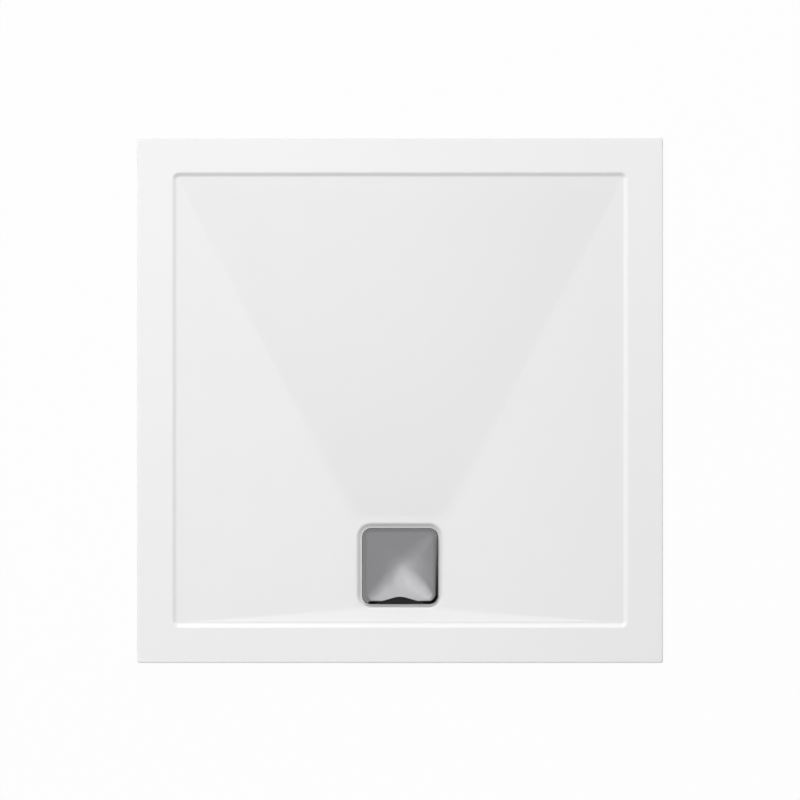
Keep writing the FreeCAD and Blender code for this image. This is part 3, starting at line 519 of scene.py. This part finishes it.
# %% [markdown]
# ## The flange's screws
#
# Four countersunk screws hold the flange.  A screw could be a profile that is spun, but its few
# levels are quicker to stack: it grows from a small disc, each Extrude lifts it and each Resize
# sets the next radius.

# %% Turn one screw
SCREW_RING = 0.0372
SCREW_PROFILE = (
    (0.0013, -0.00305), (0.00195, -0.0024), (0.00195, 0.0083), (0.0036, 0.0099), (0.0036, 0.00995),
)


def turned(name, profile, x, y, vertices=32):
    """Extrude a disc through the radii and levels of a profile."""
    piece = start_piece(name)
    bpy.ops.mesh.select_mode(type="FACE")
    radius, level = profile[0]
    bpy.ops.mesh.primitive_circle_add(
        vertices=vertices, radius=radius, fill_type="NGON", location=(x, y, level))
    for next_radius, next_level in profile[1:]:
        bpy.ops.mesh.extrude_region_move(
            TRANSFORM_OT_translate={"value": (0, 0, next_level - level)})
        share = next_radius / radius
        bpy.ops.transform.resize(value=(share, share, 1), center_override=(x, y, next_level))
        radius, level = next_radius, next_level
    mend(piece)
    return piece


screws = turned("flange_screw_set", SCREW_PROFILE, SCREW_RING, WASTE_Y)
bpy.ops.object.mode_set(mode="OBJECT")

# %% [markdown]
# The cross-shaped drive is cut with two bars that taper towards its bottom.

# %% Cut the drive
DRIVE_LONG, DRIVE_WIDE = 0.0042, 0.0009
DRIVE_LOW, DRIVE_HEIGHT = 0.0078, 0.0024
TAPER_X, TAPER_Y = 0.45, 0.6
bar_foot = (SCREW_RING, WASTE_Y, DRIVE_LOW)
bar_head = (SCREW_RING, WASTE_Y, DRIVE_LOW + DRIVE_HEIGHT)

for across, along in ((DRIVE_LONG, DRIVE_WIDE), (DRIVE_WIDE, DRIVE_LONG)):
    bar = start_piece("drive")
    bpy.ops.mesh.select_mode(type="FACE")
    bpy.ops.mesh.primitive_plane_add(size=1, location=bar_foot)
    bpy.ops.transform.resize(
        value=(across * TAPER_X, along * TAPER_Y, 1), center_override=bar_foot)
    bpy.ops.mesh.extrude_region_move(TRANSFORM_OT_translate={"value": (0, 0, DRIVE_HEIGHT)})
    bpy.ops.transform.resize(value=(1 / TAPER_X, 1 / TAPER_Y, 1), center_override=bar_head)
    mend(bar)
    cut(screws, bar)

# %% [markdown]
# The screws stand a quarter turn apart on one circle.  Duplicate leaves only the new copy selected,
# so each screw is made from the last one and turned on about the waste's axis.

# %% Copy the screw round the waste
SCREWS = 4

bpy.ops.object.mode_set(mode="EDIT")
bpy.ops.mesh.select_all(action="SELECT")
for _ in range(SCREWS - 1):
    bpy.ops.mesh.duplicate()
    bpy.ops.transform.rotate(
        value=math.radians(360 / SCREWS), orient_axis="Z", center_override=(0, WASTE_Y, 0))
mend(screws)
finish_piece(screws, angle=30)
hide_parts("flange_screws")
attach(screws, "tray")


# %% [markdown]
# ## Materials
#
# Each finish is one small tree of nodes: a shader, a little unevenness in its colour and gloss, and
# a fine bump.  A few helpers make the parts that they share.

# %% Start a finish, and give it to a piece
def new_finish(name, colour, roughness, metallic=0.0):
    """Start a material, and return it with its tree, its shader and its object coordinates."""
    finish = bpy.data.materials.new(name)
    finish.use_nodes = True
    tree = finish.node_tree
    shader = tree.nodes["Principled BSDF"]
    shader.inputs["Base Color"].default_value = (*colour, 1)
    shader.inputs["Roughness"].default_value = roughness
    shader.inputs["Metallic"].default_value = metallic
    place = tree.nodes.new("ShaderNodeTexCoord").outputs["Object"]
    return finish, tree, shader, place


def dress(piece, finish):
    """Give a piece one finish all over."""
    piece.data.materials.clear()
    piece.data.materials.append(finish)
    print(f"{piece.name} wears {finish.name}")


# %% [markdown]
# No real surface is even.  A Noise node gives cloudy values, and a Map Range node spreads them over
# the range that a colour or a gloss needs.  The same node turns a place into a mask.

# %% Values that vary over a surface
def noise(tree, place, scale, detail=4.0):
    """Cloudy values from 0 to 1, at a scale in clouds per metre."""
    cloud = tree.nodes.new("ShaderNodeTexNoise")
    cloud.inputs["Scale"].default_value = scale
    cloud.inputs["Detail"].default_value = detail
    tree.links.new(place, cloud.inputs["Vector"])
    return cloud.outputs["Fac"]


def spread(tree, value, low, high, low_from=0.3, high_from=0.7):
    """Map cloudy values to a chosen range."""
    ranges = tree.nodes.new("ShaderNodeMapRange")
    ranges.inputs["From Min"].default_value = low_from
    ranges.inputs["From Max"].default_value = high_from
    ranges.inputs["To Min"].default_value = low
    ranges.inputs["To Max"].default_value = high
    tree.links.new(value, ranges.inputs["Value"])
    return ranges.outputs["Result"]


def mask_between(tree, value, start, end):
    """A value that goes from 0 to 1 between two places."""
    return spread(tree, value, 0.0, 1.0, start, end)


# %% [markdown]
# Such values then drive the shader.  They blend two colours, make the gloss uneven, or stand for a
# height in a bump.

# %% Colour, gloss and relief
def tint(tree, shader, value, one, other):
    """Blend two colours by a value and give the result to the shader."""
    mixer = tree.nodes.new("ShaderNodeMix")
    mixer.data_type = "RGBA"
    mixer.inputs["A"].default_value = (*one, 1)
    mixer.inputs["B"].default_value = (*other, 1)
    tree.links.new(value, mixer.inputs["Factor"])
    tree.links.new(mixer.outputs["Result"], shader.inputs["Base Color"])


def gloss(tree, shader, value, low, high):
    """Let the roughness follow a cloudy value."""
    tree.links.new(spread(tree, value, low, high), shader.inputs["Roughness"])


def relief(tree, shader, value, height, strength):
    """Use a value as a height in metres."""
    bump = tree.nodes.new("ShaderNodeBump")
    bump.inputs["Strength"].default_value = strength
    bump.inputs["Distance"].default_value = height
    tree.links.new(value, bump.inputs["Height"])
    tree.links.new(bump.outputs["Normal"], shader.inputs["Normal"])
    return bump


# %% [markdown]
# The skin is glossy white acrylic, and its gloss is a little uneven when seen close.  The falling
# floor is painted a trace darker than the rim: this is painted shade.  Three masks find it: it lies
# within the step's foot to both sides, under the back step and past the front one.

# %% White acrylic
MASK_EDGE = 0.001
floor_out, floor_in = FOOT_SIDE / 2 + MASK_EDGE, FOOT_SIDE / 2 - MASK_EDGE


def calculate(tree, operation, *values):
    """The output of one Math node that works on these values."""
    math_node = tree.nodes.new("ShaderNodeMath")
    math_node.operation = operation
    for value, socket in zip(values, math_node.inputs):
        tree.links.new(value, socket)
    return math_node.outputs[0]


def times(tree, result, *values):
    """Multiply values."""
    for value in values:
        result = calculate(tree, "MULTIPLY", result, value)
    return result


acrylic, tree, shader, place = new_finish("white_acrylic", (0.89, 0.89, 0.885), 0.16)
axes = tree.nodes.new("ShaderNodeSeparateXYZ")
tree.links.new(place, axes.inputs["Vector"])
off_middle = calculate(tree, "ABSOLUTE", axes.outputs["X"])
within_sides = mask_between(tree, off_middle, floor_out, floor_in)
under_back = mask_between(tree, axes.outputs["Y"], floor_out, floor_in)
past_front = mask_between(tree, axes.outputs["Y"], -floor_out, -floor_in)
painted_shade_floor = times(tree, within_sides, under_back, past_front)
# Painted shade: the floor within the step gets a darker white than the rim.
tint(tree, shader, painted_shade_floor, (0.895, 0.895, 0.89), (0.864, 0.864, 0.860))
gloss(tree, shader, noise(tree, place, 30.0, detail=3.0), 0.13, 0.20)
dress(skin, acrylic)

# %% [markdown]
# The back fall is less than one degree steep, and to the eye it would hardly differ from the falls
# beside it.  So the shader tilts it further: the normal's part along Y is multiplied, under a mask
# that leaves out the front fall, the recess, the step and the rim.

# %% Tilt the back fall's shading
FALL_TILT = 8.0
BELOW_STEP, ABOVE_RECESS, BEHIND_FRONT = (0.0212, 0.0206), (0.01404, 0.0142), (-0.352, -0.340)

gentle = times(
    tree,
    painted_shade_floor,
    mask_between(tree, axes.outputs["Z"], *BELOW_STEP),
    mask_between(tree, axes.outputs["Z"], *ABOVE_RECESS),
    mask_between(tree, axes.outputs["Y"], *BEHIND_FRONT),
)
true_normal = tree.nodes.new("ShaderNodeNewGeometry").outputs["Normal"]
stretch = tree.nodes.new("ShaderNodeVectorMath")
stretch.operation = "MULTIPLY"
stretch.inputs[1].default_value = (1, FALL_TILT, 1)
tree.links.new(true_normal, stretch.inputs[0])
tilted = tree.nodes.new("ShaderNodeMix")
tilted.data_type = "VECTOR"
tree.links.new(gentle, tilted.inputs["Factor"])
tree.links.new(true_normal, tilted.inputs["A"])
tree.links.new(stretch.outputs["Vector"], tilted.inputs["B"])
unit = tree.nodes.new("ShaderNodeVectorMath")
unit.operation = "NORMALIZE"
tree.links.new(tilted.outputs["Result"], unit.inputs[0])
waves = relief(tree, shader, noise(tree, place, 7.0, detail=1.0), height=0.00006, strength=0.5)
tree.links.new(unit.outputs["Vector"], waves.inputs["Normal"])
print(f"the shading's slope along Y is {FALL_TILT:g} times the real one")

# %% [markdown]
# The core is resin mixed with ground stone.  It shows as a thin plinth under the skin's edge and on
# the whole underside, where small bubbles and grains break the surface.  A Voronoi node speckles
# the colour like grains, and a fine noise in the bump stands for the bubbles, which are far too
# small and too many to model.

# %% Cast stone
stone, tree, shader, place = new_finish("cast_stone", (0.66, 0.65, 0.61), 0.85)
grains = tree.nodes.new("ShaderNodeTexVoronoi")
grains.inputs["Scale"].default_value = 420.0
tree.links.new(place, grains.inputs["Vector"])
speckle = mask_between(tree, grains.outputs["Distance"], 0.15, 0.55)
tint(tree, shader, speckle, (0.56, 0.55, 0.51), (0.72, 0.71, 0.675))
relief(tree, shader, noise(tree, place, 260.0, detail=8.0), height=0.0008, strength=0.8)
dress(nodes["stone_core"], stone)

# %% [markdown]
# The seals and the cover's feet are rubber, which is dark and dull, with a dusty bloom.  A plain
# black would look like a hole, so one noise blends two near blacks for the bloom, and a finer one
# roughens the surface.

# %% Black rubber
RUBBER_PIECES = (
    "flange_gasket", "trap_gasket", "bowl_seal", "outlet_seal", "dip_tube_seal", "cover_pads",
)
rubber, tree, shader, place = new_finish("black_rubber", (0.03, 0.03, 0.032), 0.7)
bloom = noise(tree, place, 120.0, detail=5.0)
tint(tree, shader, bloom, (0.022, 0.022, 0.024), (0.055, 0.055, 0.058))
relief(tree, shader, noise(tree, place, 900.0), height=0.0002, strength=0.5)
for name in RUBBER_PIECES:
    dress(nodes[name], rubber)


# %% [markdown]
# The pressed flange was polished while it turned, so its fine lines run round the waste.  The
# distance from the waste's axis drives a noise, which gives rings of uneven width.

# %% Turned steel
def ring_lines(tree, place, per_metre):
    """Noise that changes only with the distance from the waste's axis."""
    mapping = tree.nodes.new("ShaderNodeMapping")
    mapping.inputs["Location"].default_value = (0, -WASTE_Y, 0)
    mapping.inputs["Scale"].default_value = (1, 1, 0)
    tree.links.new(place, mapping.inputs["Vector"])
    length = tree.nodes.new("ShaderNodeVectorMath")
    length.operation = "LENGTH"
    tree.links.new(mapping.outputs["Vector"], length.inputs[0])
    join = tree.nodes.new("ShaderNodeCombineXYZ")
    tree.links.new(length.outputs["Value"], join.inputs["X"])
    return noise(tree, join.outputs["Vector"], per_metre, detail=3.0)


steel, tree, shader, place = new_finish("turned_steel", (0.62, 0.62, 0.61), 0.25, metallic=1.0)
lines = ring_lines(tree, place, 2600.0)
tint(tree, shader, lines, (0.56, 0.56, 0.55), (0.68, 0.68, 0.67))
gloss(tree, shader, lines, 0.2, 0.36)
relief(tree, shader, lines, height=0.00002, strength=0.5)
dress(nodes["waste_flange"], steel)

# %% [markdown]
# The screws are steel without the rings, and their inserts are brass that has begun to tarnish.
# Both pieces are small, so one noise does for each: it varies the gloss of the steel and blends a
# bright and a dull yellow for the brass.

# %% Screw steel and brass
screw_steel, tree, shader, place = new_finish("screw_steel", (0.55, 0.55, 0.55), 0.3, metallic=1.0)
gloss(tree, shader, noise(tree, place, 900.0), 0.22, 0.42)
dress(screws, screw_steel)

brass, tree, shader, place = new_finish("turned_brass", (0.72, 0.52, 0.22), 0.3, metallic=1.0)
tarnish = noise(tree, place, 500.0)
tint(tree, shader, tarnish, (0.62, 0.43, 0.17), (0.78, 0.58, 0.27))
dress(nodes["screw_inserts"], brass)


# %% [markdown]
# The trap's pieces and the cover's carrier are injection mouldings with the fine even texture of an
# eroded mould.  They differ only in colour and gloss, so one function makes all four plastics.

# %% Moulded plastics
GLOSS_SPREAD, DARKER = 0.08, 0.93


def moulding(name, colour, roughness, *pieces):
    """Make a moulded plastic and dress the nodes that are made of it."""
    finish, tree, shader, place = new_finish(name, colour, roughness)
    darker = tuple(value * DARKER for value in colour)
    tint(tree, shader, noise(tree, place, 60.0), darker, colour)
    clouds = noise(tree, place, 300.0)
    gloss(tree, shader, clouds, roughness - GLOSS_SPREAD, roughness + GLOSS_SPREAD)
    relief(tree, shader, noise(tree, place, 2200.0, detail=2.0), height=0.00006, strength=0.5)
    for piece in pieces:
        dress(nodes[piece], finish)


moulding("white_moulding", (0.80, 0.80, 0.78), 0.45, "trap_throat", "trap_bowl", "outlet_nut")
moulding("washer_plastic", (0.74, 0.74, 0.68), 0.35, "outlet_washer")
moulding("grey_moulding", (0.33, 0.34, 0.35), 0.5, "dip_tube", "hair_strainer")
# The carrier is a real part, but its near-black is painted shade: it stands for the dark shadow gap
# round the cover's edge and in its finger bite.
moulding("carrier_plastic", (0.018, 0.018, 0.020), 0.55, "cover_carrier")

# %% [markdown]
# Chrome is a mirror with a few soft smears and the faint waves that pressing leaves in thin metal.
# The waves are too shallow to model, so a bump of large clouds bends the reflections instead.

# %% Chrome
chrome, tree, shader, place = new_finish("cover_chrome", (0.80, 0.80, 0.81), 0.08, metallic=1.0)
gloss(tree, shader, noise(tree, place, 45.0, detail=5.0), 0.06, 0.12)
relief(tree, shader, noise(tree, place, 34.0, detail=1.0), height=0.0004, strength=0.35)
dress(plate, chrome)

# %% [markdown]
# ## The floor
#
# The tray lies on a plain white floor.  The floor is open under the tray, where a real floor leaves
# room for the trap, and it lies just below the tray's underside.  The opening could be cut with a
# boolean, but insetting the plane's one face and deleting the middle leaves a clean frame.

# %% A floor with an opening
FLOOR_SIDE, FLOOR_OPENING, FLOOR_LEVEL = 40.0, 0.892, -0.0003
floor = start_piece("studio_floor")
bpy.ops.mesh.select_mode(type="FACE")
bpy.ops.mesh.primitive_plane_add(size=FLOOR_SIDE, location=(0, 0, FLOOR_LEVEL))
bpy.ops.mesh.inset(thickness=(FLOOR_SIDE - FLOOR_OPENING) / 2)
bpy.ops.mesh.delete(type="FACE")
finish_piece(floor)

# %% [markdown]
# To the camera, and in mirrors and clear things, the floor is almost white by itself.  A small part
# of it still takes the light, and that part keeps the tray's shadow.

# %% White for the camera
WHITE_SHARE = 0.97
white_floor, tree, shader, place = new_finish("white_floor", (0.60, 0.60, 0.60), 0.9)
rays = tree.nodes.new("ShaderNodeLightPath").outputs
either = calculate(tree, "MAXIMUM", rays["Is Glossy Ray"], rays["Is Transmission Ray"])
seen = calculate(tree, "MAXIMUM", rays["Is Camera Ray"], either)
part = tree.nodes.new("ShaderNodeMath")
part.operation = "MULTIPLY"
part.inputs[1].default_value = WHITE_SHARE
tree.links.new(seen, part.inputs[0])
glow = tree.nodes.new("ShaderNodeEmission")
glow.inputs["Strength"].default_value = 1.0
mix = tree.nodes.new("ShaderNodeMixShader")
tree.links.new(part.outputs[0], mix.inputs["Fac"])
tree.links.new(shader.outputs["BSDF"], mix.inputs[1])
tree.links.new(glow.outputs["Emission"], mix.inputs[2])
tree.links.new(mix.outputs["Shader"], tree.nodes["Material Output"].inputs["Surface"])
dress(floor, white_floor)


# %% [markdown]
# ## Light
#
# A large lamp stands far behind the tray and to its left, so the step is dark at the back, bright
# at the front, and the whole surface fades a little towards the front right.  A larger, weaker one
# hangs above.  Neither shows in the mirror of the cover.

# %% Lamps
def add_lamp(name, place, size, watts):
    """Add a square area lamp that points at the origin."""
    bpy.ops.object.light_add(type="AREA", location=place)
    lamp = bpy.context.object
    lamp.name = name
    lamp.data.shape = "SQUARE"
    lamp.data.size = size
    lamp.data.energy = watts
    aim = Vector((0, 0, 0)) - Vector(place)
    lamp.rotation_euler = aim.to_track_quat("-Z", "Y").to_euler()
    lamp.visible_glossy = False
    print(f"{name}: {watts} W, {aim.length:.1f} m away")


add_lamp("key", (-1.3, 5.2, 3.8), size=2.4, watts=241)
add_lamp("fill", (-1.1, -0.3, 5.8), size=3.0, watts=133)


# %% [markdown]
# The world gives the rest of the light.  Overhead it is darker, as a studio ceiling is round the
# camera, and the mirror of the cover shows exactly that: a darker middle, and a brighter front.  A
# black flag at the front right draws the dark line along the plate's rolled edge.

# %% Grey levels in the world
BLUER = 1.01


def glow_towards(tree, direction, aim, radius, stops):
    """Grey levels by how far a direction lies from an aim, in radii along each axis."""
    scale = [1 / size if size else 0 for size in radius]
    mapping = tree.nodes.new("ShaderNodeMapping")
    mapping.inputs["Scale"].default_value = scale
    mapping.inputs["Location"].default_value = [-share * size for share, size in zip(aim, scale)]
    tree.links.new(direction, mapping.inputs["Vector"])
    ball = tree.nodes.new("ShaderNodeTexGradient")
    ball.gradient_type = "SPHERICAL"
    tree.links.new(mapping.outputs["Vector"], ball.inputs["Vector"])
    ramp = tree.nodes.new("ShaderNodeValToRGB")
    ramp.color_ramp.interpolation = "EASE"
    tree.links.new(ball.outputs["Fac"], ramp.inputs["Fac"])
    elements = ramp.color_ramp.elements
    for number, (position, level) in enumerate(stops):
        stop = elements[number] if number < 2 else elements.new(position)
        stop.position = position
        stop.color = (level, level, level * BLUER, 1)
    return ramp.outputs["Color"]


def combine(tree, kind, one, other):
    """Add or multiply two colours."""
    mixer = tree.nodes.new("ShaderNodeMix")
    mixer.data_type = "RGBA"
    mixer.blend_type = kind
    mixer.inputs["Factor"].default_value = 1
    tree.links.new(one, mixer.inputs["A"])
    tree.links.new(other, mixer.inputs["B"])
    return mixer.outputs["Result"]


world = bpy.data.worlds.new("studio")
bpy.context.scene.world = world
world.use_nodes = True
tree = world.node_tree
direction = tree.nodes.new("ShaderNodeTexCoord").outputs["Generated"]
ceiling = glow_towards(
    tree, direction, aim=(-0.01, 0.04, 0), radius=(1.0, 1.0, 0),
    stops=((0, 0.50), (0.25, 0.30), (0.60, 0.24), (0.85, 0.31)))
panel = glow_towards(
    tree, direction, aim=(0.035, -0.19, 0), radius=(0.16, 0.24, 0), stops=((0, 0.0), (1, 0.46)))
flag = glow_towards(
    tree, direction, aim=(0.42, -0.62, 0.62), radius=(0.9, 0.9, 0.45),
    stops=((0.17, 1.0), (0.33, 0.02)))
shaded = combine(tree, "MULTIPLY", combine(tree, "ADD", ceiling, panel), flag)
print("nodes in the world so far:", len(tree.nodes))

# %% [markdown]
# Low down, the world is white like the floor, so that no dark edge shows where the floor ends.

# %% White at the horizon
WHITE_BELOW, SHADED_ABOVE = 0.10, 0.26
axes = tree.nodes.new("ShaderNodeSeparateXYZ")
tree.links.new(direction, axes.inputs["Vector"])
horizon = tree.nodes.new("ShaderNodeMix")
horizon.data_type = "RGBA"
horizon.inputs["A"].default_value = (1, 1, 1, 1)
raised = mask_between(tree, axes.outputs["Z"], WHITE_BELOW, SHADED_ABOVE)
tree.links.new(raised, horizon.inputs["Factor"])
tree.links.new(shaded, horizon.inputs["B"])
tree.links.new(horizon.outputs["Result"], tree.nodes["Background"].inputs["Color"])
print(f"the world is white up to {math.degrees(math.asin(WHITE_BELOW)):.0f} degrees")

# %% [markdown]
# ## Camera
#
# The photograph looks straight down with a long lens: the tray's sides stay parallel to the
# picture's.  The lens and the height give the width of the view.

# %% Camera
VIEW_WIDTH = 1.368
LENS, SENSOR = 100.0, 36.0
height = VIEW_WIDTH * LENS / SENSOR
bpy.ops.object.camera_add(location=(0, 0, TOP + height), rotation=(0, 0, 0))
camera = bpy.context.object
camera.data.lens = LENS
camera.data.sensor_width = SENSOR
camera.data.clip_end = 50
bpy.context.scene.camera = camera
bpy.context.scene.view_settings.view_transform = "Standard"
print(f"camera {height:.2f} m above the rim")
